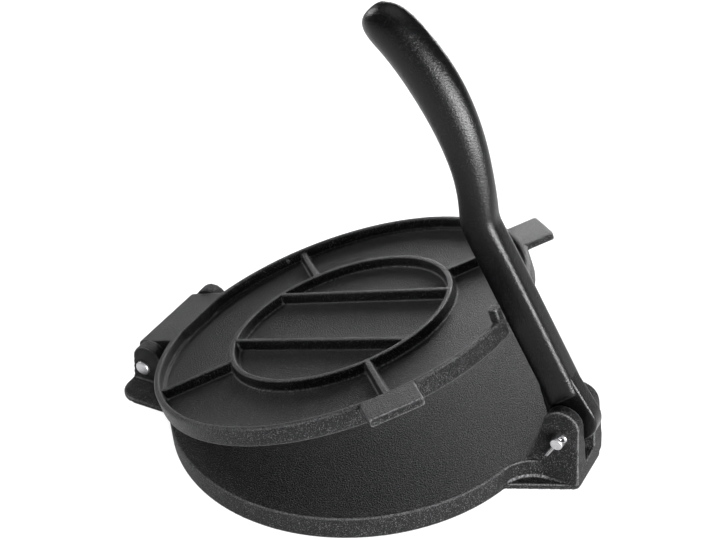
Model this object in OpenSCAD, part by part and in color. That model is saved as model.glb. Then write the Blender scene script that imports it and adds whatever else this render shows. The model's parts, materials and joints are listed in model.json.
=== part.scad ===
// Cast-iron tortilla press: two round plates, a hinge and a curved pressing lever.
// Units are millimetres. The origin is the centre of the base's underside, +Z is up,
// -X is the hinge side and +X is the lever side. Everything is drawn in the resting pose.

/* [Plates] */
// Diameter of the lid plate
plate_d = 254; // [200:1:320]
// How far the base's edge lies inside the lid's edge
base_inset = 1; // [0:0.5:3]
// Height of the base
base_h = 16; // [13:0.5:24]
// Thickness of the base's pressing wall
base_top_t = 5; // [4:0.5:7]
// Thickness of the base's outer wall
base_wall = 5; // [4:0.5:8]
// Height of the lid
lid_h = 12.5; // [10:0.5:18]
// Thickness of the lid's floor
lid_floor_t = 4; // [3:0.5:5]
// Width of the lid's rim
rim_w = 4; // [3:0.5:6]
// Gap between the two plates when they are closed
plate_gap = 0.4; // [0.3:0.1:1]
// Bevel on the outer edges of both plates
edge_bevel = 0.8; // [0.4:0.1:1.2]

/* [Ribs] */
// Diameter of the round rib, along its middle
ring_d = 148; // [110:1:160]
// Width of a rib along its crest
rib_w = 3.2; // [2.5:0.1:5]
// How much wider each side of a rib is at its foot
rib_draft = 1.1; // [0.2:0.1:1.5]
// How far the ribs stay below the rim
rib_drop = 1.9; // [1:0.1:3]
// Distance between the two straight bars inside the ring
bar_spacing = 57; // [40:1:70]
// Diameter of the boss in the middle of the underside
hub_d = 24; // [14:1:40]

/* [Lid front] */
// Angle of each thumb tab from the lever
tab_angle = 45; // [38:1:60]
// Width of a thumb tab
tab_w = 33; // [24:1:44]
// How far a thumb tab stands out from the lid
tab_reach = 18.5; // [12:0.5:28]
// Thickness of a thumb tab
tab_t = 5; // [4:0.5:8]
// Radius of a thumb tab's outer corners
tab_corner = 2; // [1.5:0.5:9]
// Depth of the lever slot, in from the lid's edge
slot_depth = 7.5; // [6:0.5:9]
// Gap between the lever and each side of its slot
slot_clear = 1.1; // [0.6:0.1:2]
// Width of each guide post beside the slot
post_w = 6; // [3:0.5:8]
// Length of each guide post
post_l = 6; // [4:0.5:10]
// Height of each guide post above the rim
post_h = 8; // [3:0.5:12]

/* [Hinge] */
// Distance from the base's edge to the hinge axis
hinge_reach = 20.5; // [19:0.5:30]
// Height of the hinge axis
hinge_z = 14.5; // [14:0.5:20]
// Diameter of the hinge pin
hinge_pin_d = 8; // [6:0.5:9]
// Diameter of the hinge pin's head
hinge_head_d = 10.4; // [10:0.2:14]
// Thickness of the hinge pin's head
hinge_head_t = 2.5; // [1.5:0.5:4]
// Width of the lid's hinge lug
lug_w = 62; // [40:1:80]
// Radius of the lug round the pin
lug_r = 10; // [8:0.5:10]
// Gap between the lug and each hinge ear
lug_clear = 2; // [0.5:0.5:4]
// Thickness of a hinge ear
hinge_ear_t = 9; // [6:0.5:14]
// Radius of a hinge ear's crown
crown_r = 11.5; // [9:0.5:12]
// How far the crown lies towards the plates from the pin
crown_x = 4; // [0:0.5:5]
// How far the crown lies above the pin
crown_z = 6; // [0:0.5:7]
// Width of the foot plate under the hinge
foot_w = 126; // [110:1:140]
// How far the foot plate reaches out from the hinge axis
foot_reach = 10.5; // [8:0.5:16]
// Thickness of the foot plate
foot_t = 3.5; // [2.5:0.5:4]
// Radius of the foot plate's outer corners
foot_corner = 14; // [6:1:20]

/* [Clevis] */
// Distance from the base's edge to the lever pin's axis
clevis_reach = 22.5; // [20:0.5:28]
// Height of the lever pin's axis
clevis_z = 36; // [35:0.5:42]
// How far the clevis reaches out past the lever pin's axis
clevis_end_reach = 12.7; // [11:0.1:16]
// Gap between a clevis ear's foot and each side of the lever's tongue
tongue_clear = 1.7; // [0.5:0.1:2.5]
// Thickness of a clevis ear at its foot
clevis_ear_t = 13; // [9:0.5:18]
// Thickness of a clevis ear at its top
clevis_top_t = 7.5; // [5:0.5:10]
// How far each ear leans outwards from foot to top
ear_lean = 2.4; // [2:0.1:4]
// Radius of a clevis ear's round top
clevis_ear_r = 11.5; // [10:0.1:12.5]
// Height of the middle of that round top above the lever pin
ear_rise = 7; // [4:0.5:9]
// Radius where the clevis blends into the base's wall
web_r = 22; // [12:1:30]
// Width of the clevis's ledge where it meets the base
ledge_w = 77; // [60:1:90]
// Thickness of the ledge
ledge_t = 4; // [3:0.5:6]
// Radius of the ledge's outer corners
ledge_corner = 5; // [2:0.5:8]
// Diameter of the lever pin
lever_pin_d = 8; // [6:0.5:9]
// Radial clearance of a pin in its bores
pin_clear = 0.06; // [0.02:0.01:0.09]
// How far the hinge pin stands out past its ear
hinge_tail = 6; // [5:0.5:9]
// How far the lever pin stands out past the foot of its ear
lever_tail = 4.5; // [4:0.5:8]
// Distance from a pin's end to the middle of its split pin
split_inset = 2.6; // [2:0.1:3.5]

/* [Lever] */
// Thickness of the lever's tongue
tongue_t = 10.6; // [8:0.1:12]
// Radius of the tongue round its pin
heel_r = 10; // [8:0.5:12]
// Radius of the heel's outer lobe
lobe_r = 15.5; // [13:0.5:17]
// How far the lobe lies along the arm, and outwards, from the pin
lobe_offset = 4.2; // [3:0.1:5]
// Distance from the pin to where the arm's cheeks start
shoulder_from = 17; // [15:0.5:22]
// Radius of the curve where the cheeks start
shoulder_r = 60; // [40:1:90]
// Slant of that curve
shoulder_slant = 24; // [0:1:30]
// Thickness of the lever's arm
arm_t = 16.5; // [15:0.1:17]
// Depth of the lever's arm
arm_depth = 22.2; // [18:0.1:25]
// Length of the straight arm from the pin to the bend
arm_len = 134.5; // [115:0.5:160]
// How far the arm's middle line passes outside the pin
arm_offset = 5.9; // [3:0.1:7]
// Slope of the arm's middle line towards the plates
arm_slope = 2.8; // [0:0.1:4]
// Turn of the bend at the end of the arm
bend_turn = 23.5; // [10:0.5:28]
// Radius of that bend
bend_r = 29; // [20:1:60]
// Radius of the grip's long curve
grip_r = 156; // [120:1:220]
// Turn of the grip's long curve
grip_turn = 43.5; // [20:0.5:46]
// Length of the straight end of the grip
tip_len = 17; // [14:1:30]
// Depth of the grip where it is fullest
grip_depth = 30.5; // [26:0.5:36]
// Thickness of the grip where it is fullest
grip_t = 23; // [19:0.5:28]

/* [Split pins] */
// Diameter of the split pins' wire
wire_d = 1.5; // [1.2:0.1:1.8]
// Diameter of a split pin's shank
shank_d = 2.4; // [2:0.1:3]
// Inside diameter of a split pin's eye
eye_d = 3; // [2:0.2:4]
// Length of a split pin's spread legs
leg_len = 8; // [4:0.5:12]
// Spread of each leg
leg_spread = 20; // [5:1:35]

/* [Resting pose] */
// Opening of the lid at rest
lid_open = 17.2; // [10:0.1:19]
// Lean of the lever above the horizontal at rest, over the lid
lever_lean = 66.3; // [66:0.1:90]

/* [Hidden] */
$fn = 96;
EPS = 0.01;
IRON = [0.16, 0.16, 0.17];
ZINC = [0.78, 0.79, 0.80];

lid_r = plate_d / 2;
base_r = lid_r - base_inset;
lid_z = base_h + plate_gap;
rib_top = lid_h - rib_drop;
ring_r = ring_d / 2;

hinge_x = -(base_r + hinge_reach);
hinge_ear_y = lug_w / 2 + lug_clear;
hinge_face_y = hinge_ear_y + hinge_ear_t;
hinge_pin_r = hinge_pin_d / 2;

clevis_x = base_r + clevis_reach;
clevis_gap = tongue_t + 2 * tongue_clear;
clevis_face_y = clevis_gap / 2 + clevis_ear_t;
lever_pin_r = lever_pin_d / 2;

clevis_end = clevis_x + clevis_end_reach;
heel_reach = lobe_offset * sqrt(2) + lobe_r; // the heel's greatest distance from the pin
clevis_floor = clevis_z - heel_reach - 0.8;  // bottom of the gap between the ears
foot_z = base_h - 2;                         // top of the clevis ears' straight feet
slot_w = arm_t + 2 * slot_clear;
split_hole_r = shank_d / 2 + 0.05;

// ---------------------------------------------------------------- helpers

// Turns a part that is drawn closed about the hinge, to the lid's resting pose.
module opened() {
    translate([hinge_x, 0, hinge_z])
        rotate([0, -lid_open, 0])
            translate([-hinge_x, 0, -hinge_z]) children();
}

// A round bar along Y, centred on y = 0.
module y_rod(r, length) {
    rotate([90, 0, 0]) cylinder(r = r, h = length, center = true);
}

// A straight rib along X from x = from to x = to, with sloped flanks.
module rib(from, to, height) {
    translate([from, 0, 0]) rotate([90, 0, 90])
        linear_extrude(to - from)
            polygon([[-rib_w / 2 - rib_draft, 0], [rib_w / 2 + rib_draft, 0],
                     [rib_w / 2, height], [-rib_w / 2, height]]);
}

// A plate of the given thickness whose two far corners are round, reaching x = 0.
module round_ended_plate(length, width, corner, thickness) {
    linear_extrude(thickness) union() {
        translate([-length + corner, -width / 2]) square([length - corner, width]);
        translate([-length, -width / 2 + corner]) square([corner + EPS, width - 2 * corner]);
        for (side = [-1, 1])
            translate([-length + corner, side * (width / 2 - corner)]) circle(r = corner);
    }
}

// ---------------------------------------------------------------- base

// The base plate's body: flat pressing wall, outer wall and the round rib beneath.
module base_body() {
    inner = base_r - base_wall;
    rotate_extrude($fn = 180)
        polygon([[0, base_h - base_top_t], [ring_r - rib_w / 2 - rib_draft, base_h - base_top_t],
                 [ring_r - rib_w / 2, 0], [ring_r + rib_w / 2, 0],
                 [ring_r + rib_w / 2 + rib_draft, base_h - base_top_t],
                 [inner, base_h - base_top_t], [inner, 0], [base_r - edge_bevel, 0],
                 [base_r, edge_bevel], [base_r, base_h - edge_bevel],
                 [base_r - edge_bevel, base_h], [0, base_h]]);
}

// The two crossing ribs and the boss beneath the pressing wall.
module base_underside() {
    reach = base_r - base_wall / 2;
    height = base_h - base_top_t + EPS;
    for (angle = [45, 135])
        translate([0, 0, height]) rotate([180, 0, angle]) rib(-reach, reach, height);
    cylinder(d = hub_d, h = height);
}

// One hinge ear, as seen from the front: crown, foot and the arm back to the plate.
module hinge_ear() {
    back = base_r - base_wall - 1;
    hull() {
        translate([hinge_x + crown_x, 0, hinge_z + crown_z])
            rotate([-90, 0, 0]) cylinder(r = crown_r, h = hinge_ear_t, $fn = 48);
        translate([hinge_x - foot_reach, 0, 0]) cube([foot_reach + crown_r + crown_x, hinge_ear_t, foot_t]);
    }
    translate([hinge_x, 0, 0]) cube([-hinge_x - back, hinge_ear_t, base_h - 2]);
}

// Foot plate and the two ears that carry the hinge pin.
module hinge_bracket() {
    difference() {
        translate([-base_r * 0.8, 0, 0])
            round_ended_plate(-hinge_x + foot_reach - base_r * 0.8, foot_w, foot_corner, foot_t);
        translate([0, 0, -1]) cylinder(r = base_r - base_wall / 2, h = foot_t + 2, $fn = 180);
    }
    translate([0, hinge_ear_y, 0]) hinge_ear();
    mirror([0, 1, 0]) translate([0, hinge_ear_y, 0]) hinge_ear();
}

// Outline of the raised clevis block from above, blended into the plate's round wall.
module clevis_outline() {
    blend_y = clevis_face_y + web_r;
    blend_x = sqrt(pow(base_r + web_r, 2) - blend_y * blend_y);
    on_wall = base_r / (base_r + web_r);
    in_wall = (base_r - base_wall) / (base_r + web_r);
    difference() {
        union() {
            translate([base_r - base_wall, -clevis_face_y])
                square([clevis_end - base_r + base_wall, 2 * clevis_face_y]);
            for (side = [-1, 1])
                polygon([[base_r - base_wall * 1.5, side * (clevis_face_y - 1)],
                         [blend_x, side * (clevis_face_y - 1)], [blend_x, side * blend_y],
                         [blend_x * on_wall, side * blend_y * on_wall],
                         [blend_x * in_wall, side * blend_y * in_wall]]);
        }
        for (side = [-1, 1]) translate([blend_x, side * blend_y]) circle(r = web_r);
        circle(r = base_r - base_wall / 2, $fn = 180);
    }
}

// Thin ledge that runs out from the plate to the end of the clevis.
module clevis_ledge() {
    root_x = sqrt(base_r * base_r - ledge_w * ledge_w / 4);
    difference() {
        linear_extrude(ledge_t) hull() {
            translate([root_x - ledge_corner, -ledge_w / 2]) square([EPS, ledge_w]);
            for (side = [-1, 1])
                translate([clevis_end - ledge_corner, side * (clevis_face_y - ledge_corner)])
                    circle(r = ledge_corner, $fn = 32);
        }
        translate([0, 0, -1]) cylinder(r = base_r - base_wall / 2, h = ledge_t + 2, $fn = 180);
    }
}

// One clevis ear: a straight foot, faces that draw in upwards, and a round top.
module clevis_ear() {
    hull() {
        translate([clevis_x, clevis_gap / 2 + ear_lean, clevis_z + ear_rise]) rotate([-90, 0, 0])
            cylinder(r = clevis_ear_r, h = clevis_top_t, $fn = 64);
        translate([base_r + 2, clevis_gap / 2, ledge_t - EPS])
            cube([clevis_end - base_r - 2, clevis_ear_t, foot_z - ledge_t + EPS]);
    }
}

// Block, ledge and the two ears that carry the lever pin.
module clevis() {
    difference() {
        union() {
            translate([0, 0, ledge_t - EPS]) linear_extrude(base_h - ledge_t + EPS) clevis_outline();
            clevis_ledge();
        }
        translate([base_r + 4, -clevis_gap / 2, clevis_floor])
            cube([clevis_end - base_r, clevis_gap, base_h]);
    }
    clevis_ear();
    mirror([0, 1, 0]) clevis_ear();
}

module base_plate() {
    color(IRON) difference() {
        union() {
            base_body();
            base_underside();
            hinge_bracket();
            clevis();
        }
        translate([hinge_x, 0, hinge_z]) y_rod(hinge_pin_r + pin_clear, 2 * hinge_face_y + 2);
        translate([clevis_x, 0, clevis_z]) y_rod(lever_pin_r + pin_clear, 2 * clevis_face_y + 2);
    }
}

// ---------------------------------------------------------------- lid

// The lid's body: floor, rim and round rib, drawn with its underside at z = 0.
module lid_body() {
    inner = lid_r - rim_w;
    rotate_extrude($fn = 180)
        polygon([[0, 0], [lid_r - edge_bevel, 0], [lid_r, edge_bevel], [lid_r, lid_h - edge_bevel],
                 [lid_r - edge_bevel, lid_h], [inner + edge_bevel, lid_h], [inner, lid_h - edge_bevel],
                 [inner, lid_floor_t + 1.5], [inner - 1.5, lid_floor_t],
                 [ring_r + rib_w / 2 + rib_draft, lid_floor_t], [ring_r + rib_w / 2, rib_top],
                 [ring_r - rib_w / 2, rib_top], [ring_r - rib_w / 2 - rib_draft, lid_floor_t],
                 [0, lid_floor_t]]);
}

// Four ribs from the ring to the rim, and the two straight bars inside the ring.
module lid_ribs() {
    height = rib_top - lid_floor_t + EPS;
    for (angle = [45, 135, 225, 315])
        rotate([0, 0, angle]) translate([0, 0, lid_floor_t - EPS]) rib(ring_r, lid_r - rim_w / 2, height);
    intersection() {
        for (side = [-1, 1])
            translate([0, side * bar_spacing / 2, lid_floor_t - EPS]) rib(-ring_r, ring_r, height);
        cylinder(r = ring_r, h = lid_h);
    }
}

// One thumb tab, standing out from the rim along +X.
module thumb_tab() {
    root = lid_r - rim_w / 2 - 1.5;
    translate([root, 0, lid_h - tab_t]) mirror([1, 0, 0])
        round_ended_plate(lid_r + tab_reach - root, tab_w, tab_corner, tab_t);
}

// Lug behind the rim that turns on the hinge pin, in the closed lid's own place.
module hinge_lug() {
    top = lid_z + lid_h;
    rotate([90, 0, 0]) linear_extrude(lug_w, center = true) hull() {
        translate([hinge_x, hinge_z]) circle(r = lug_r, $fn = 48);
        translate([hinge_x - 3, top - 5]) circle(r = 5, $fn = 32);
        translate([-lid_r - 0.5, lid_z + 0.5]) square([EPS, lid_h - 0.5]);
    }
    back = sqrt(lid_r * lid_r - lug_w * lug_w / 4) - rim_w / 2;
    translate([-lid_r - 1, -lug_w / 2, lid_z + 0.5]) cube([lid_r + 1 - back, lug_w, lid_h - 0.5]);
}

// Guide posts on both sides of the lever slot.
module slot_posts() {
    for (side = [-1, 1])
        translate([lid_r - post_l - 1, side * (slot_w / 2 + post_w / 2) - post_w / 2, lid_h - 1])
            cube([post_l, post_w, post_h + 1]);
}

module lid_plate() {
    color(IRON) opened() difference() {
        union() {
            translate([0, 0, lid_z]) {
                lid_body();
                lid_ribs();
                slot_posts();
                for (side = [-1, 1]) rotate([0, 0, side * tab_angle]) thumb_tab();
            }
            hinge_lug();
        }
        translate([lid_r - slot_depth, -slot_w / 2, lid_z - 1]) cube([slot_depth + 1, slot_w, lid_h + post_h + 2]);
        translate([hinge_x, 0, hinge_z]) y_rod(hinge_pin_r + pin_clear, lug_w + 2);
    }
}

// ---------------------------------------------------------------- lever

// The lever is drawn lying back along +X with its pin at the origin; its inner side is +Z.
// Its middle line is the straight arm, a short bend away from the plates, the grip's
// long curve back towards them and a straight end. Each place is [x, z, heading].
arm_end = [arm_len * cos(arm_slope), arm_len * sin(arm_slope) - arm_offset];
bend_len = bend_r * bend_turn * PI / 180;
grip_len = grip_r * grip_turn * PI / 180;
lever_len = arm_len + bend_len + grip_len + tip_len;

function turned(at, heading, radius, turn) =
    [at[0] + radius * (sin(heading + turn) - sin(heading)) * sign(turn),
     at[1] - radius * (cos(heading + turn) - cos(heading)) * sign(turn)];

bend_end = turned(arm_end, arm_slope, bend_r, -bend_turn);
grip_start = arm_slope - bend_turn;
grip_end = turned(bend_end, grip_start, grip_r, grip_turn);
tip_heading = grip_start + grip_turn;

function along(at, heading, d) = [at[0] + d * cos(heading), at[1] + d * sin(heading), heading];

function place(s) =
    s < arm_len ? along([0, -arm_offset], arm_slope, s) :
    s < arm_len + bend_len ?
        let (t = -bend_turn * (s - arm_len) / bend_len)
        [for (v = turned(arm_end, arm_slope, bend_r, t)) v, arm_slope + t] :
    s < arm_len + bend_len + grip_len ?
        let (t = grip_turn * (s - arm_len - bend_len) / grip_len)
        [for (v = turned(bend_end, grip_start, grip_r, t)) v, grip_start + t] :
    along(grip_end, tip_heading, s - arm_len - bend_len - grip_len);

// Share of the way from a to b, eased at both ends.
function ease(a, b, s) = let (t = min(1, max(0, (s - a) / (b - a)))) t * t * (3 - 2 * t);

// Half depth, half thickness and squareness of the section at s. A squareness of 2 is an
// oval; more is closer to a rectangle with rounded corners.
neck = arm_len + bend_len;
full = neck + grip_len * 0.72;
tip_round = 0.74;
round_from = lever_len - grip_depth * tip_round;
arm_square = 5.2;
grip_square = 2.3;
function cap(s) = s < round_from ? 1 :
    sqrt(max(0.0225, 1 - pow((s - round_from) / (lever_len - round_from), 2)));
function half_depth(s) = cap(s) / 2 * (arm_depth + (grip_depth - arm_depth) * ease(neck, full, s)
    - (grip_depth - arm_depth) * 0.35 * ease(full, lever_len, s));
function half_thick(s) = cap(s) / 2 * (arm_t + (grip_t - arm_t) * ease(arm_len * 0.75, full, s));
function squareness(s) = arm_square + (grip_square - arm_square) * ease(arm_len * 0.6, full, s);

// A ring of points round the middle line at s, as a rounded rectangle.
ring_points = 28;
function bulge(v, p) = sign(v) * pow(max(abs(v), 0.0001), 2 / p);
function section(s) =
    let (at = place(s), a = half_depth(s), b = half_thick(s), p = squareness(s))
    [for (i = [0 : ring_points - 1])
        let (angle = 360 * (i + 0.5) / ring_points,
             n = a * bulge(sin(angle), p),
             y = b * bulge(cos(angle), p))
        [at[0] - n * sin(at[2]), y, at[1] + n * cos(at[2])]];

// Stations along the lever: even steps, and closer ones over the rounded end.
arm_from = shoulder_from / 4;
stations = concat(
    [for (i = [0 : 3]) arm_from + (arm_len - arm_from) * i / 4],
    [for (i = [0 : 3]) arm_len + bend_len * i / 4],
    [for (i = [0 : 9]) neck + (round_from - neck) * i / 10],
    [for (i = [0 : 7]) round_from + (lever_len - round_from) * sin(90 * i / 7)]);

// The swept arm and grip, closed by a fan at each end.
module lever_sweep() {
    rings = [for (s = stations) section(s)];
    last = len(rings) - 1;
    first_at = place(stations[0]);
    last_at = place(lever_len);
    points = concat([for (r = rings) each r],
                    [[first_at[0], 0, first_at[1]], [last_at[0], 0, last_at[1]]]);
    start = len(rings) * ring_points;
    function next(i) = (i + 1) % ring_points;
    faces = concat(
        [for (k = [0 : last - 1]) for (i = [0 : ring_points - 1])
            each [[k * ring_points + i, (k + 1) * ring_points + next(i), k * ring_points + next(i)],
                  [k * ring_points + i, (k + 1) * ring_points + i, (k + 1) * ring_points + next(i)]]],
        [for (i = [0 : ring_points - 1]) [start, i, next(i)]],
        [for (i = [0 : ring_points - 1])
            [start + 1, last * ring_points + next(i), last * ring_points + i]]);
    polyhedron(points, faces);
}

// The flat tongue that turns between the clevis ears.
module tongue() {
    inside = place(shoulder_from * 2.3);
    rotate([90, 0, 0]) linear_extrude(tongue_t, center = true) hull() {
        circle(r = heel_r, $fn = 64);
        translate([lobe_offset, -lobe_offset]) circle(r = lobe_r, $fn = 64);
        translate([inside[0], inside[1]]) circle(r = arm_depth * 0.46, $fn = 48);
    }
}

// Round cutter that leaves the curved shoulder where the arm's cheeks start.
module shoulder() {
    translate([shoulder_from - shoulder_r * cos(shoulder_slant), 0, -shoulder_r * sin(shoulder_slant)])
        y_rod(shoulder_r, arm_t * 1.6);
}

module lever_handle() {
    color(IRON) translate([clevis_x, 0, clevis_z]) rotate([0, lever_lean - 180, 0]) difference() {
        union() {
            difference() {
                lever_sweep();
                shoulder();
            }
            tongue();
        }
        y_rod(lever_pin_r + pin_clear, tongue_t + 2);
    }
}

// ---------------------------------------------------------------- pins

// A split pin along +X through a pin of radius r: eye before it, spread legs behind it.
module split_pin(r) {
    eye_r = (eye_d + wire_d) / 2;
    head_x = r + 0.8;
    tail_x = -r - 0.8;
    color(ZINC) {
        translate([head_x + eye_r, 0, 0]) rotate([90, 0, 0])
            rotate_extrude($fn = 32) translate([eye_r, 0]) circle(d = wire_d, $fn = 16);
        translate([tail_x, 0, 0]) rotate([0, 90, 0])
            cylinder(d = shank_d, h = head_x - tail_x + wire_d / 4, $fn = 24);
        for (side = [-1, 1])
            translate([tail_x + 0.5, 0, side * wire_d * 0.25]) rotate([0, -90 + side * leg_spread, 0])
                cylinder(d = wire_d, h = leg_len * (side > 0 ? 1 : 0.8), $fn = 16);
    }
}

// A plain pin along Y with bevelled ends, and a cross hole near each end that has one.
module pin_body(r, from, to) {
    bevel = 0.8;
    rotate([-90, 0, 0]) {
        translate([0, 0, from]) cylinder(r1 = r - bevel, r2 = r, h = bevel);
        translate([0, 0, from + bevel]) cylinder(r = r, h = to - from - 2 * bevel);
        translate([0, 0, to - bevel]) cylinder(r1 = r, r2 = r - bevel, h = bevel);
    }
}

// A cross hole at y, turned by angle about the pin's axis.
module cross_hole(y, angle, r) {
    translate([0, y, 0]) rotate([0, -angle, 0]) rotate([0, 90, 0])
        cylinder(r = split_hole_r, h = 2 * r + 2, center = true, $fn = 32);
}

hinge_split_y = hinge_face_y + hinge_tail - split_inset;
lever_split_y = clevis_face_y + lever_tail - split_inset;
hinge_split_angle = 35;
front_split_angle = 62;
rear_split_angle = 24;

module hinge_pin() {
    color(ZINC) translate([hinge_x, 0, hinge_z]) difference() {
        union() {
            pin_body(hinge_pin_r, -hinge_face_y - hinge_head_t / 2, hinge_face_y + hinge_tail);
            translate([0, -hinge_face_y, 0]) rotate([90, 0, 0])
                cylinder(d1 = hinge_head_d, d2 = hinge_head_d - 1, h = hinge_head_t);
        }
        cross_hole(hinge_split_y, hinge_split_angle, hinge_pin_r);
    }
}

module hinge_split_pin() {
    translate([hinge_x, hinge_split_y, hinge_z]) rotate([0, -hinge_split_angle, 0]) split_pin(hinge_pin_r);
}

module lever_pin() {
    color(ZINC) translate([clevis_x, 0, clevis_z]) difference() {
        pin_body(lever_pin_r, -clevis_face_y - lever_tail, clevis_face_y + lever_tail);
        cross_hole(-lever_split_y, front_split_angle, lever_pin_r);
        cross_hole(lever_split_y, rear_split_angle, lever_pin_r);
    }
}

module lever_split_pin_front() {
    translate([clevis_x, -lever_split_y, clevis_z]) rotate([0, -front_split_angle, 0]) split_pin(lever_pin_r);
}

module lever_split_pin_rear() {
    translate([clevis_x, lever_split_y, clevis_z]) rotate([0, -rear_split_angle, 0]) split_pin(lever_pin_r);
}

base_plate();
lid_plate();
lever_handle();
hinge_pin();
hinge_split_pin();
lever_pin();
lever_split_pin_front();
lever_split_pin_rear();
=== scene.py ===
"""Looks of a cast-iron tortilla press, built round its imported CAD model.

Metres, in the frame of the CAD.
"""
import json
import math

import bmesh
import bpy
import numpy as np
from mathutils import Matrix, Vector


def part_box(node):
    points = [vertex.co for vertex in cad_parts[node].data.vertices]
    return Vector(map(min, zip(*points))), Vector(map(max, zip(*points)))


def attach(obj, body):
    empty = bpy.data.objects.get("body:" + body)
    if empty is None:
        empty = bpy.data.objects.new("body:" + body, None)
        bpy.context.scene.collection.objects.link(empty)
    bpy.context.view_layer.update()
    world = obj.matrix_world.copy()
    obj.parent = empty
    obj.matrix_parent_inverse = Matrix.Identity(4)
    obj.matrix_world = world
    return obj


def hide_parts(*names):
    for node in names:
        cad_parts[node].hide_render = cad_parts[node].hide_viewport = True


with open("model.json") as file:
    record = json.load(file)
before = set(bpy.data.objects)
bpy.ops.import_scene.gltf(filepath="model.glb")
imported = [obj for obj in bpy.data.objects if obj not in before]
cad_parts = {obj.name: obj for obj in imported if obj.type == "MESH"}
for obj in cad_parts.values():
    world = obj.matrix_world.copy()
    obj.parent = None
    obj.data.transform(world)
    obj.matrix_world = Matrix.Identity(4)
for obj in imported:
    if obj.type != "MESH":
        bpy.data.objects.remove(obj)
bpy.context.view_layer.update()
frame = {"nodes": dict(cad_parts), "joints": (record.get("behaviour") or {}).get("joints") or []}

# ---------------------------------------------------------------- view and studio
# A press on a plain pale table, seen from above and in front of its lever side. Broad soft lamps
# stand low on the right and behind, and higher on the left, with a faint one overhead.

photo_width = 716
focal_pixels = 1371.3
sensor_width = 36
camera_place = (0.3838, -0.6019, 0.5763)
camera_yaw = math.radians(32.07)
camera_pitch = math.radians(33.37)
camera_roll = math.radians(-5.05)

camera = bpy.data.objects.new("camera", bpy.data.cameras.new("camera"))
camera.data.sensor_width = sensor_width
camera.data.lens = sensor_width * focal_pixels / photo_width
camera.data.clip_start = 0.05
ahead = Vector((-math.sin(camera_yaw) * math.cos(camera_pitch),
                math.cos(camera_yaw) * math.cos(camera_pitch), -math.sin(camera_pitch)))
level = Vector((math.cos(camera_yaw), math.sin(camera_yaw), 0))
raised = level.cross(ahead)
right = math.cos(camera_roll) * level + math.sin(camera_roll) * raised
up = -math.sin(camera_roll) * level + math.cos(camera_roll) * raised
facing = Matrix((right, up, -ahead)).transposed().to_4x4()
camera.matrix_world = Matrix.Translation(camera_place) @ facing
bpy.context.collection.objects.link(camera)
bpy.context.scene.camera = camera
bpy.context.scene.view_settings.view_transform = "Standard"


def soft_lamp(name, place, target, width, height, power):
    """A rectangular area lamp at a place, turned to face a target. Its power is in watts."""
    lamp = bpy.data.objects.new(name, bpy.data.lights.new(name, "AREA"))
    lamp.data.shape = "RECTANGLE"
    lamp.data.size = width
    lamp.data.size_y = height
    lamp.data.energy = power
    lamp.location = place
    lamp.rotation_euler = (Vector(target) - Vector(place)).to_track_quat("-Z", "Y").to_euler()
    bpy.context.collection.objects.link(lamp)


soft_lamp("low_window", (1.60, -0.87, 0.34), (0.10, 0.0, 0.14), 1.5, 0.62, 130)
soft_lamp("back_window", (-0.30, 1.30, 0.36), (0.0, 0.0, 0.06), 0.8, 0.6, 21)
soft_lamp("left_window", (-1.15, 0.10, 0.80), (0.0, 0.0, 0.04), 0.5, 0.4, 12)
soft_lamp("ceiling", (0.10, -0.05, 1.70), (0.0, 0.0, 0.0), 1.4, 1.4, 8)


class Value:
    """A number or colour inside a finish. Arithmetic on it adds Math nodes."""

    def __init__(self, finish, socket):
        self.finish = finish
        self.socket = socket

    def __add__(self, other):
        return self.finish.maths("ADD", self, other)

    def __sub__(self, other):
        return self.finish.maths("SUBTRACT", self, other)

    def __rsub__(self, other):
        return self.finish.maths("SUBTRACT", other, self)

    def __mul__(self, other):
        return self.finish.maths("MULTIPLY", self, other)

    __radd__ = __add__
    __rmul__ = __mul__


class Finish:
    """A procedural material whose maths is written as Python expressions."""

    def __init__(self, name):
        self.material = bpy.data.materials.new(name)
        self.material.use_nodes = True
        self.tree = self.material.node_tree
        self.shader = self.tree.nodes["Principled BSDF"]

    def plug(self, socket, value):
        """Links a value to a socket, or sets the socket's own number."""
        if isinstance(value, Value):
            self.tree.links.new(value.socket, socket)
        else:
            socket.default_value = value

    def node(self, kind, settings=None, sockets=None, out=0):
        """Adds a node, with its settings first and its sockets after, and gives one of its outputs."""
        node = self.tree.nodes.new("ShaderNode" + kind)
        for name, value in (settings or {}).items():
            setattr(node, name, value)
        for name, value in (sockets or {}).items():
            self.plug(node.inputs[name], value)
        return Value(self, node.outputs[out])

    def maths(self, operation, first, second):
        """One Math node on two values."""
        return self.node("Math", {"operation": operation}, {0: first, 1: second})

    def place(self):
        """The point on the piece, in its own coordinates."""
        return self.node("TexCoord", out="Object")

    def noise(self, scale, detail, rough):
        """Noise about 0.5 with scale lumps to the metre, and detail finer layers that fade by rough."""
        return self.node("TexNoise", None, {"Vector": self.place(), "Scale": scale, "Detail": detail,
                                            "Roughness": rough})

    def between(self, value, low, high):
        """0 below low, 1 above high and a smooth step between."""
        return self.node("MapRange", {"interpolation_type": "SMOOTHSTEP"},
                         {"Value": value, "From Min": low, "From Max": high})

    def blend(self, share, first, second):
        """A colour that goes from the first to the second with share. A Mix node has its colours
        at inputs 6 and 7 and its mixed colour at output 2."""
        return self.node("Mix", {"data_type": "RGBA"}, {0: share, 6: first, 7: second}, out=2)

    def surface(self, **sockets):
        """Plugs values into the shader's sockets of those names."""
        for name, value in sockets.items():
            self.plug(self.shader.inputs[name.replace("_", " ").title()], value)


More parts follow.
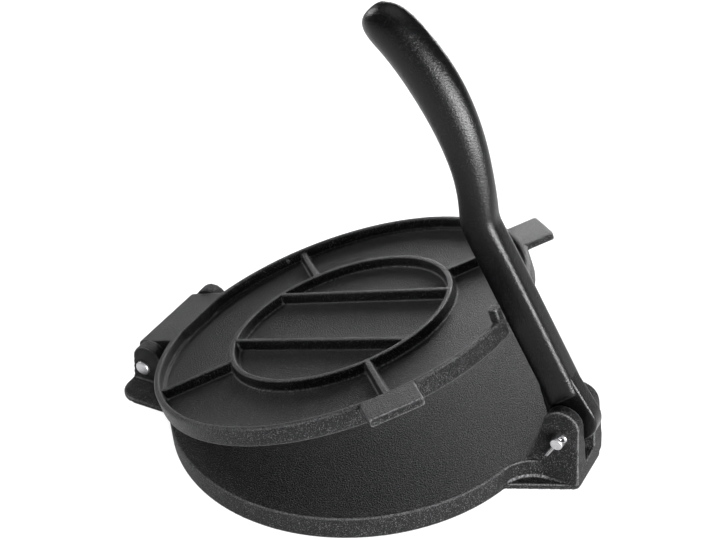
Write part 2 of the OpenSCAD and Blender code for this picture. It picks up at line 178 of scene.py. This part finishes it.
def pale_table():
    """A plain grey surface. Where the camera, a reflection or a clear piece sees it, a steady glow
    is added that makes it white and leaves the press's shadow in it. The light that it throws back
    on the press comes from the plain grey alone."""
    finish = Finish("pale_table")
    finish.surface(base_color=(0.4, 0.4, 0.405, 1), roughness=0.9)
    finish.shader.inputs["Specular IOR Level"].default_value = 0.1
    white = finish.tree.nodes.new("ShaderNodeEmission")
    white.inputs["Color"].default_value = (0.74, 0.74, 0.745, 1)
    lifted = finish.tree.nodes.new("ShaderNodeAddShader")
    finish.tree.links.new(finish.shader.outputs["BSDF"], lifted.inputs[0])
    finish.tree.links.new(white.outputs["Emission"], lifted.inputs[1])
    by_ray = finish.tree.nodes.new("ShaderNodeMixShader")
    seen = (finish.node("LightPath", out="Is Camera Ray") + finish.node("LightPath", out="Is Glossy Ray")
            + finish.node("LightPath", out="Is Transmission Ray"))
    finish.plug(by_ray.inputs[0], seen)
    finish.tree.links.new(finish.shader.outputs["BSDF"], by_ray.inputs[1])
    finish.tree.links.new(lifted.outputs[0], by_ray.inputs[2])
    output = finish.tree.nodes["Material Output"]
    finish.tree.links.new(by_ray.outputs[0], output.inputs["Surface"])
    return finish.material


mm = 0.001
table_half = 6
below_press = 0.2 * mm

table = bpy.data.meshes.new("table")
corners = [(-table_half, -table_half, 0), (table_half, -table_half, 0),
           (table_half, table_half, 0), (-table_half, table_half, 0)]
table.from_pydata(corners, [], [(0, 1, 2, 3)])
table.materials.append(pale_table())
table_top = bpy.data.objects.new("table_top", table)
bpy.context.collection.objects.link(table_top)
table_top.location.z = -below_press

room = bpy.data.worlds.new("room")
room.use_nodes = True
room.node_tree.nodes["Background"].inputs["Color"].default_value = (1, 1, 1, 1)
room.node_tree.nodes["Background"].inputs["Strength"].default_value = 0.16
bpy.context.scene.world = room

# ---------------------------------------------------------------- base plate
# The lower casting: a flat pressing disc with its hinge ears, foot plate and clevis. Grey iron,
# poured in sand and baked with oil, so its skin is black and pebbly and every edge is a little round.


def sand_iron(name, pebble=0.75, gloss=0.33, relief=1.0, painted_glints=0.10, dusty=0.004, edge_wear_and_highlight=0.13,
              shine=0.15):
    """Oil-black iron. Its height is pebbles of pebble millimetres plus 0.4 of a finer grit, and relief
    millimetres is the depth of it. Its tone is nearly black, and goes to dusty on high pebbles in
    patches, to light painted glints on the tops of the grit, to a light tone on the crests of edges
    that is partly worn edges and partly a painted highlight along them, and to a light painted
    highlight along the feet of walls. Its roughness is gloss plus 0.12 of the patches. shine is how
    strongly it mirrors."""
    near_black = (0.0012, 0.0012, 0.0014, 1)
    # The light grey below is painted: a highlight laid along the concave feet of walls.
    painted_fillet_highlight = (0.19, 0.19, 0.195, 1)
    finish = Finish(name)
    pebbles = finish.noise(1000 / pebble, 2.0, 0.6)
    grit = finish.noise(1500, 1.0, 0.5)
    patches = finish.noise(26, 4.0, 0.6)
    pointed = finish.node("NewGeometry", out="Pointiness")
    crest = finish.between(pointed, 0.51, 0.56)
    foot = 1 - finish.between(pointed, 0.455, 0.488)
    dust = finish.between(pebbles, 0.45, 0.70) * finish.between(patches, 0.25, 0.70)
    tone = finish.blend(dust, near_black, (dusty, dusty, dusty * 1.05, 1))
    # Light specks on the tops of the grit: painted glints.
    glint_mask = finish.between(grit, 0.60, 0.67) * (0.35 + 0.65 * patches)
    tone = finish.blend(glint_mask, tone, (painted_glints, painted_glints, painted_glints * 1.02, 1))
    # A light tone on the crests of edges: partly worn edges, partly a painted highlight along them.
    tone = finish.blend(crest * finish.between(pebbles, 0.30, 0.60), tone, (edge_wear_and_highlight, edge_wear_and_highlight, edge_wear_and_highlight * 1.02, 1))
    # A light grey along the feet of walls: a painted highlight on the concave fillets.
    tone = finish.blend(foot * finish.between(pebbles, 0.25, 0.60), tone, painted_fillet_highlight)
    bump = finish.node("Bump", None, {"Strength": 1.0, "Distance": relief * mm,
                                      "Height": pebbles + 0.4 * grit})
    finish.surface(base_color=tone, roughness=gloss + 0.12 * patches, normal=bump)
    finish.shader.inputs["Specular IOR Level"].default_value = shine
    return finish.material


def add_piece(name, mesh, material, body, slot, *nodes):
    """Puts a finished mesh in the scene as one piece that rides on a body and stands for CAD nodes."""
    mesh.name = name
    mesh.materials.clear()
    mesh.materials.append(material)
    mesh.polygons.foreach_set("use_smooth", [True] * len(mesh.polygons))
    piece = bpy.data.objects.new(name, mesh)
    bpy.context.collection.objects.link(piece)
    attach(piece, body)
    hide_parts(*nodes)


def as_cast(node, voxel, softening, share, turn=None):
    """The CAD solid of a node with the soft edges and filled corners of a sand casting: its closed
    surface is drawn again on a lattice of cells of voxel, relaxed softening times, and thinned to a
    share of its faces where it is flat. turn squares a leaning piece up to the lattice first."""
    mesh = frame["nodes"][node].data.copy()
    form = bmesh.new()
    form.from_mesh(mesh)
    bmesh.ops.remove_doubles(form, verts=form.verts, dist=0.002 * mm)
    form.to_mesh(mesh)
    form.free()
    if turn is not None:
        mesh.transform(turn)
    blank = bpy.data.objects.new("blank", mesh)
    bpy.context.collection.objects.link(blank)
    lattice = blank.modifiers.new("lattice", "REMESH")
    lattice.mode = "VOXEL"
    lattice.voxel_size = voxel
    relax = blank.modifiers.new("relax", "SMOOTH")
    relax.factor = 0.5
    relax.iterations = softening
    thin = blank.modifiers.new("thin", "DECIMATE")
    thin.ratio = share
    made = bpy.data.meshes.new_from_object(blank.evaluated_get(bpy.context.evaluated_depsgraph_get()))
    bpy.data.objects.remove(blank)
    if turn is not None:
        made.transform(turn.inverted())
    return made


add_piece("base_casting", as_cast("base_plate", 0.75 * mm, 2, 0.3), sand_iron("base_iron", gloss=0.46),
          "base", "base_iron", "base_plate")

# ---------------------------------------------------------------- lid plate
# The upper casting: a thin floor stiffened by a rim, a round rib, four spokes and two bars, with
# a thumb tab on each side of the lever slot and a broad lug that turns on the hinge pin.

joints = {joint["name"]: joint for joint in frame["joints"]}
lid_open = math.radians(17.2)
hinge_place = Vector(joints["lid_hinge"]["pos_m"])
shut = (Matrix.Translation(hinge_place) @ Matrix.Rotation(lid_open, 4, "Y")
        @ Matrix.Translation(-hinge_place))

add_piece("lid_casting", as_cast("lid_plate", 0.65 * mm, 2, 0.25, shut), sand_iron("lid_iron"),
          "lid", "lid_iron", "lid_plate")

# ---------------------------------------------------------------- lever
# The handle casting, of the same iron, rubbed smooth by hands: a straight arm, a short bend, and a
# grip that swells and curves back over the lid. A thin tongue at its foot turns on the lever pin.

lever_pin_place = np.array(joints["lever_pivot"]["pos_m"])
lever_lean = math.radians(66.3)
arm_slope = math.radians(2.8)
arm_len = 134.5 * mm
arm_offset = 5.9 * mm
arm_depth = 22.2 * mm
arm_t = 16.5 * mm
bend_turn = math.radians(23.5)
bend_r = 29 * mm
grip_turn = math.radians(43.5)
grip_r = 156 * mm
tip_len = 16.7 * mm
tip_round = 0.74
tip_hook = 2.9 * mm
tip_taper = 0.15
cap_bow = 2.8
cap_blunt = 0.38
arm_square = 4.4
grip_square = 2.0
grip_depth = 30.5 * mm
grip_t = 23 * mm
shoulder_from = 17 * mm
shoulder_r = 60 * mm
shoulder_slant = math.radians(24)
shoulder_edge = 0.10
sections_from = 30 * mm
bend_len = bend_r * bend_turn
grip_len = grip_r * grip_turn
lever_len = arm_len + bend_len + grip_len + tip_len
neck = arm_len + bend_len
palm = neck + grip_len * 0.72
widens_from = arm_len * 0.75
rounds_from = arm_len * 0.7
round_by = neck + grip_len * 0.25
barely = 1e-12  # keeps the side of an arc known where it hasn't begun to turn


def arc_from(start, heading, radius, turn):
    """Where an arc from start ends that turns by turn. Its centre is square to its heading, on the
    side that it turns to."""
    side = np.sign(turn)
    return (start[0] + radius * side * (np.sin(heading + turn) - np.sin(heading)),
            start[1] - radius * side * (np.cos(heading + turn) - np.cos(heading)))


def middle_line(s):
    """Place and heading at distance s along the lever: a straight arm, an arc outwards, a long arc
    back inwards and a straight end, each starting where the last one stops."""
    arm_end = (arm_len * np.cos(arm_slope), arm_len * np.sin(arm_slope) - arm_offset)
    bent = np.clip((s - arm_len) / bend_len, 0, 1) * -bend_turn
    curled = np.clip((s - neck) / grip_len, 0, 1) * grip_turn
    bend_end = arc_from(arm_end, arm_slope, bend_r, -bend_turn)
    grip_end = arc_from(bend_end, arm_slope - bend_turn, grip_r, grip_turn)
    on_bend = arc_from(arm_end, arm_slope, bend_r, bent - barely)
    on_grip = arc_from(bend_end, arm_slope - bend_turn, grip_r, curled + barely)
    tip_heading = arm_slope - bend_turn + grip_turn
    beyond = s - neck - grip_len
    stretch = [s < arm_len, s < neck, s < neck + grip_len]
    x = np.select(stretch, [s * np.cos(arm_slope), on_bend[0], on_grip[0]],
                  grip_end[0] + beyond * np.cos(tip_heading))
    z = np.select(stretch, [s * np.sin(arm_slope) - arm_offset, on_bend[1], on_grip[1]],
                  grip_end[1] + beyond * np.sin(tip_heading))
    return x, z, arm_slope + bent + curled


def eased(low, high, s):
    """0 at low, 1 at high, and a smooth step between."""
    t = np.clip((s - low) / (high - low), 0, 1)
    return t * t * (3 - 2 * t)


def grid_mesh(name, points):
    """A mesh of quads on a grid of points. Each row is a closed loop. Points that fall together, as
    at a tip, become one."""
    rows, columns = points.shape[:2]
    i = np.arange(rows - 1)[:, None]
    j = np.arange(columns)[None, :]
    ni = i + 1
    nj = (j + 1) % columns
    quads = np.stack([i * columns + j, i * columns + nj, ni * columns + nj, ni * columns + j], -1)
    mesh = bpy.data.meshes.new(name)
    mesh.from_pydata(points.reshape(-1, 3).tolist(), [], quads.reshape(-1, 4).tolist())
    form = bmesh.new()
    form.from_mesh(mesh)
    bmesh.ops.remove_doubles(form, verts=form.verts, dist=0.001 * mm)
    bmesh.ops.recalc_face_normals(form, faces=form.faces)
    form.to_mesh(mesh)
    form.free()
    return mesh


def lever_to_world(x, y, z):
    """From the lever drawn lying back along X, its inner side up, to its place on its pin."""
    turn = lever_lean - math.pi
    return np.stack([lever_pin_place[0] + x * np.cos(turn) + z * np.sin(turn), y,
                     lever_pin_place[2] - x * np.sin(turn) + z * np.cos(turn)], -1)


def handle_surface():
    """The arm and grip: rounded-rectangle sections carried along the middle line. The section swells
    from the bend to the palm and its corners grow rounder. A blunt cap closes the tip and drifts to
    the inner side. The first rows lie on the round shoulder and close it to the middle."""
    around = np.linspace(0, 2 * np.pi, 96, endpoint=False)
    cap_from = lever_len - grip_depth * tip_round
    cap_len = lever_len - cap_from
    to_tip = cap_from + cap_len * np.sin(np.linspace(0, np.pi / 2, 32))
    along = np.concatenate([np.linspace(sections_from, neck, 40), np.linspace(neck, cap_from, 70)[1:],
                            to_tip[1:]])
    s = along[:, None]
    closing = ((s - cap_from) / cap_len).clip(0, 1)
    cap = np.clip(1 - closing ** cap_bow, 0, 1) ** cap_blunt
    depth = cap / 2 * (arm_depth + (grip_depth - arm_depth)
                       * (eased(neck, palm, s) - tip_taper * eased(palm, lever_len, s)))
    thick = cap / 2 * (arm_t + (grip_t - arm_t) * eased(widens_from, palm, s))
    power = 2 / (arm_square + (grip_square - arm_square) * eased(rounds_from, round_by, s))
    n = depth * np.sign(np.sin(around)) * np.abs(np.sin(around)) ** power + tip_hook * closing ** 2
    y = thick * np.sign(np.cos(around)) * np.abs(np.cos(around)) ** power
    x0, z0, heading = middle_line(s)
    x = x0 - n * np.sin(heading)
    z = z0 + n * np.cos(heading)
    cut_x = shoulder_from - shoulder_r * math.cos(shoulder_slant)
    cut_z = -shoulder_r * math.sin(shoulder_slant)
    start_x = cut_x + np.sqrt(shoulder_r ** 2 - (z[0] - cut_z) ** 2)
    lead = np.linspace(0, 1, 12)[:-1, None]
    lead_x = start_x + (x[0] - start_x) * lead
    lead_z = z[0] + 0 * lead
    lead_y = y[0] * (1 - shoulder_edge * (1 - lead) ** 16)
    shrink = np.array([0.0, 0.35, 0.7])[:, None]
    rows = [(start_x + 0 * shrink, y[0] * shrink, z[0] + 0 * shrink), (lead_x, lead_y, lead_z),
            (x, y, z)]
    return np.concatenate([lever_to_world(*np.broadcast_arrays(*row)) for row in rows])


lobe_r = 15.5 * mm
lobe_offset = 4.2 * mm
heel_r = 10 * mm
tongue_t = 10.6 * mm
tongue_edge = 1.6 * mm
inside_r = arm_depth * 0.46
inside_at = shoulder_from * 2.3


def hull_outline(circles, count):
    """The outline of a band stretched round circles (x, z, r): in each direction, the furthest of
    them gives the distance, and the outline's point is found where that band turns."""
    angle = np.linspace(0, 2 * np.pi, count, endpoint=False)
    reach = np.stack([cx * np.cos(angle) + cz * np.sin(angle) + r for cx, cz, r in circles])
    top = reach.argmax(0)
    cx, cz, r = (np.array(circles)[top, k] for k in range(3))
    return cx + r * np.cos(angle), cz + r * np.sin(angle), np.cos(angle), np.sin(angle)


def plate_from_outline(outline, thickness, rounding):
    """A flat plate with that outline: the rim is a flat band with a quarter circle at each edge,
    and the faces close on the outline's middle."""
    x, z, nx, nz = outline
    quarter = np.linspace(0, np.pi / 2, 7)
    inset = np.concatenate([rounding * (1 - np.sin(quarter)), rounding * (1 - np.cos(quarter))])
    level_y = np.concatenate([-thickness / 2 + rounding * (1 - np.cos(quarter)),
                              thickness / 2 - rounding * (1 - np.sin(quarter))])
    rim = np.stack(np.broadcast_arrays(x - nx * inset[:, None], level_y[:, None] + 0 * x,
                                       z - nz * inset[:, None]), 0)
    middle = np.array([x.mean(), z.mean()])
    near = np.stack([middle[0] + 0 * x, -thickness / 2 + 0 * x, middle[1] + 0 * x])[:, None]
    far = np.stack([middle[0] + 0 * x, thickness / 2 + 0 * x, middle[1] + 0 * x])[:, None]
    return np.concatenate([near, rim, far], 1)


def tongue_surface():
    """The tongue: a flat plate round the pin, the heel's lobe and the foot of the arm."""
    x0, z0, _ = middle_line(np.array(inside_at))
    outline = hull_outline([(0, 0, heel_r), (lobe_offset, -lobe_offset, lobe_r),
                            (float(x0), float(z0), inside_r)], 180)
    return lever_to_world(*plate_from_outline(outline, tongue_t, tongue_edge))


def joined(name, *meshes):
    """One mesh made of several closed ones."""
    form = bmesh.new()
    for mesh in meshes:
        form.from_mesh(mesh)
    whole = bpy.data.meshes.new(name)
    form.to_mesh(whole)
    form.free()
    return whole


add_piece("lever_casting", joined("lever_casting", grid_mesh("handle", handle_surface()),
                                  grid_mesh("tongue", tongue_surface())),
          sand_iron("lever_iron", pebble=0.8, gloss=0.15, relief=0.22, painted_glints=0.010, dusty=0.002,
                    edge_wear_and_highlight=0.010, shine=0.21),
          "lever", "lever_iron", "lever_handle")

# ---------------------------------------------------------------- hinge pin and lever pin
# Two turned rods of zinc-plated steel. The hinge pin has a low round head at the front and a split
# pin through its tail; the lever pin is plain, rounded at both ends, with a split pin at each.


def zinc(name):
    """Dull plating: grey metal whose tone and roughness both rise with broad clouds, and which
    is darker and a little raised at fine marks of handling."""
    finish = Finish(name)
    clouds = finish.noise(420, 3.0, 0.6)
    marks = finish.noise(3200, 2.0, 0.5)
    tone = finish.blend(clouds, (0.30, 0.30, 0.31, 1), (0.60, 0.60, 0.61, 1))
    tone = finish.blend(finish.between(marks, 0.58, 0.70), tone, (0.16, 0.16, 0.165, 1))
    bump = finish.node("Bump", None, {"Strength": 0.6, "Distance": 0.06 * mm, "Height": marks})
    finish.surface(base_color=tone, roughness=0.26 + 0.24 * clouds, normal=bump)
    finish.shader.inputs["Metallic"].default_value = 1
    return finish.material


def turned_rod(axis_place, profile):
    """A rod along Y through axis_place: a profile of (y, radius) in millimetres, turned about it."""
    around = np.linspace(0, 2 * np.pi, 64, endpoint=False)
    y, radius = np.array(profile).T[:, :, None] * mm
    return np.stack([axis_place[0] + radius * np.cos(around), y + 0 * around,
                     axis_place[2] + radius * np.sin(around)], -1)


def rounded_edge(y, radius, round_by, side):
    """Points of a quarter circle from the flat end at y to the barrel: side is -1 or 1, the way
    that the end faces."""
    turn = np.linspace(0, np.pi / 2, 6)
    points = np.stack([y - side * round_by * (1 - np.cos(turn)),
                       radius - round_by * (1 - np.sin(turn))], -1)
    return points.tolist()


# Millimetres, as the profiles are.
pin_r = 4.0
pin_edge = 0.8
head_r = 5.2
head_t = 2.5
head_edge = 1.1
head_flat_r = 3.0
hollow_r = 2.2
hollow_depth = 0.25

hinge_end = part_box("hinge_pin")
head_y = hinge_end[0][1] / mm
tail_y = hinge_end[1][1] / mm
head_inner = head_y + head_t
hinge_profile = ([(head_y, 0), (head_y, head_flat_r)] + rounded_edge(head_y, head_r, head_edge, -1)
                 + [(head_inner, head_r), (head_inner, pin_r)]
                 + rounded_edge(tail_y, pin_r, pin_edge, 1)[::-1] + [(tail_y, 0)])
add_piece("hinge_pin_steel", grid_mesh("hinge_pin_steel", turned_rod(hinge_place, hinge_profile)),
          zinc("hinge_pin_zinc"), "base", "pin_steel", "hinge_pin")

pin_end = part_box("lever_pin")[1][1] / mm
lever_profile = ([(-pin_end + hollow_depth, 0), (-pin_end, hollow_r)]
                 + rounded_edge(-pin_end, pin_r, pin_edge, -1)
                 + rounded_edge(pin_end, pin_r, pin_edge, 1)[::-1]
                 + [(pin_end, hollow_r), (pin_end - hollow_depth, 0)])
add_piece("lever_pin_steel", grid_mesh("lever_pin_steel", turned_rod(lever_pin_place, lever_profile)),
          zinc("lever_pin_zinc"), "base", "pin_steel", "lever_pin")

# ---------------------------------------------------------------- split pins
# Half-round steel wire, zinc-plated, folded into an eye and pushed through a cross hole with its two
# flat sides together. The front one's legs still lie together; the others' are spread a little.


def smooth_path(points, per_span):
    """A smooth curve through points: on each span a cubic that leaves and arrives with the slope
    of the line between the span's neighbours."""
    p = np.array(points, float)
    ends = np.vstack([2 * p[0] - p[1], p, 2 * p[-1] - p[-2]])
    before, start, stop, after = (ends[k:len(p) - 1 + k, None] for k in range(4))
    t = np.linspace(0, 1, per_span, endpoint=False)[None, :, None]
    spans = 0.5 * (2 * start + (stop - before) * t + (2 * before - 5 * start + 4 * stop - after) * t ** 2
                   + (3 * start - before - 3 * stop + after) * t ** 3)
    return np.vstack([spans.reshape(-1, 2), p[-1:]])


def folded_wire(centre, lean, legs, spread, eye_side):
    """The wire of one split pin, in the plane across Y through centre. Its path is one leg, the
    shank, the eye, which may sit to one side of it, the shank back and the other leg. The section
    is half a circle, its flat side on the inside, and shrinks to a point at each end of the wire.
    All of its lengths are in millimetres, out from the middle of the hole."""
    wire_r = 1.08
    wire_flat = 0.9
    wire_core = 0.4
    wire_end = np.array([0, 0.75, 0.93])
    eye_r = 1.7
    eye_at = 5.1
    throat = 3.3
    seat = -4.4
    loop = np.radians(np.linspace(-150, 150, 13))
    eye = [(eye_at + eye_r * math.cos(a), eye_side - eye_r * math.sin(a)) for a in loop]
    ways = [math.radians(-spread), math.radians(spread)]
    ends = [[(seat - length * share * math.cos(way), side * 0.1 - length * share * math.sin(way))
             for share in (0.25, 0.6, 1)]
            for length, way, side in zip(legs, ways, (1, -1))]
    path = smooth_path(ends[0][::-1] + [(seat, 0.08), (0, 0.06), (throat, 0.10)] + eye
                       + [(throat, -0.10), (0, -0.06), (seat, -0.08)] + ends[1], 8)
    slope = np.gradient(path, axis=0)
    slope /= np.linalg.norm(slope, axis=1)[:, None]
    outward = np.stack([-slope[:, 1], slope[:, 0]], -1)
    half = np.linspace(0, np.pi, 13)
    around = np.concatenate([np.stack([wire_r * np.cos(half), wire_r * np.sin(half)], -1),
                             np.stack([np.linspace(-wire_flat, wire_flat, 5), np.zeros(5)], -1)])
    size = np.concatenate([wire_end, np.ones(len(path) - 2 * len(wire_end)), wire_end[::-1]])
    core = path + outward * wire_core
    flat = core[:, None] + outward[:, None] * (around[:, 1, None] - wire_core) * size[:, None, None]
    y = (around[:, 0] * size[:, None]) * mm
    u, w = flat[..., 0] * mm, flat[..., 1] * mm
    return np.stack([centre[0] + u * math.cos(lean) - w * math.sin(lean), centre[1] + y,
                     centre[2] + u * math.sin(lean) + w * math.cos(lean)], -1)


def add_split_pin(node, axis_place, lean, legs, spread, eye_side):
    """The split pin that stands for a CAD node, across the pin at axis_place. Its eye points lean
    degrees up from +X, and its two legs turn outwards by spread degrees each."""
    low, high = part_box(node)
    centre = (axis_place[0], (low[1] + high[1]) / 2, axis_place[2])
    wire = folded_wire(centre, math.radians(lean), legs, spread, eye_side)
    add_piece(node + "_wire", grid_mesh(node + "_wire", wire), zinc(node + "_zinc"), "base",
              "split_pin_steel", node)


add_split_pin("lever_split_pin_front", lever_pin_place, 60, (11.0, 10.2), 0.3, -0.9)
add_split_pin("lever_split_pin_rear", lever_pin_place, 24, (8.6, 7.6), 9, 0)
add_split_pin("hinge_split_pin", hinge_place, 35, (8.6, 7.6), 9, 0)
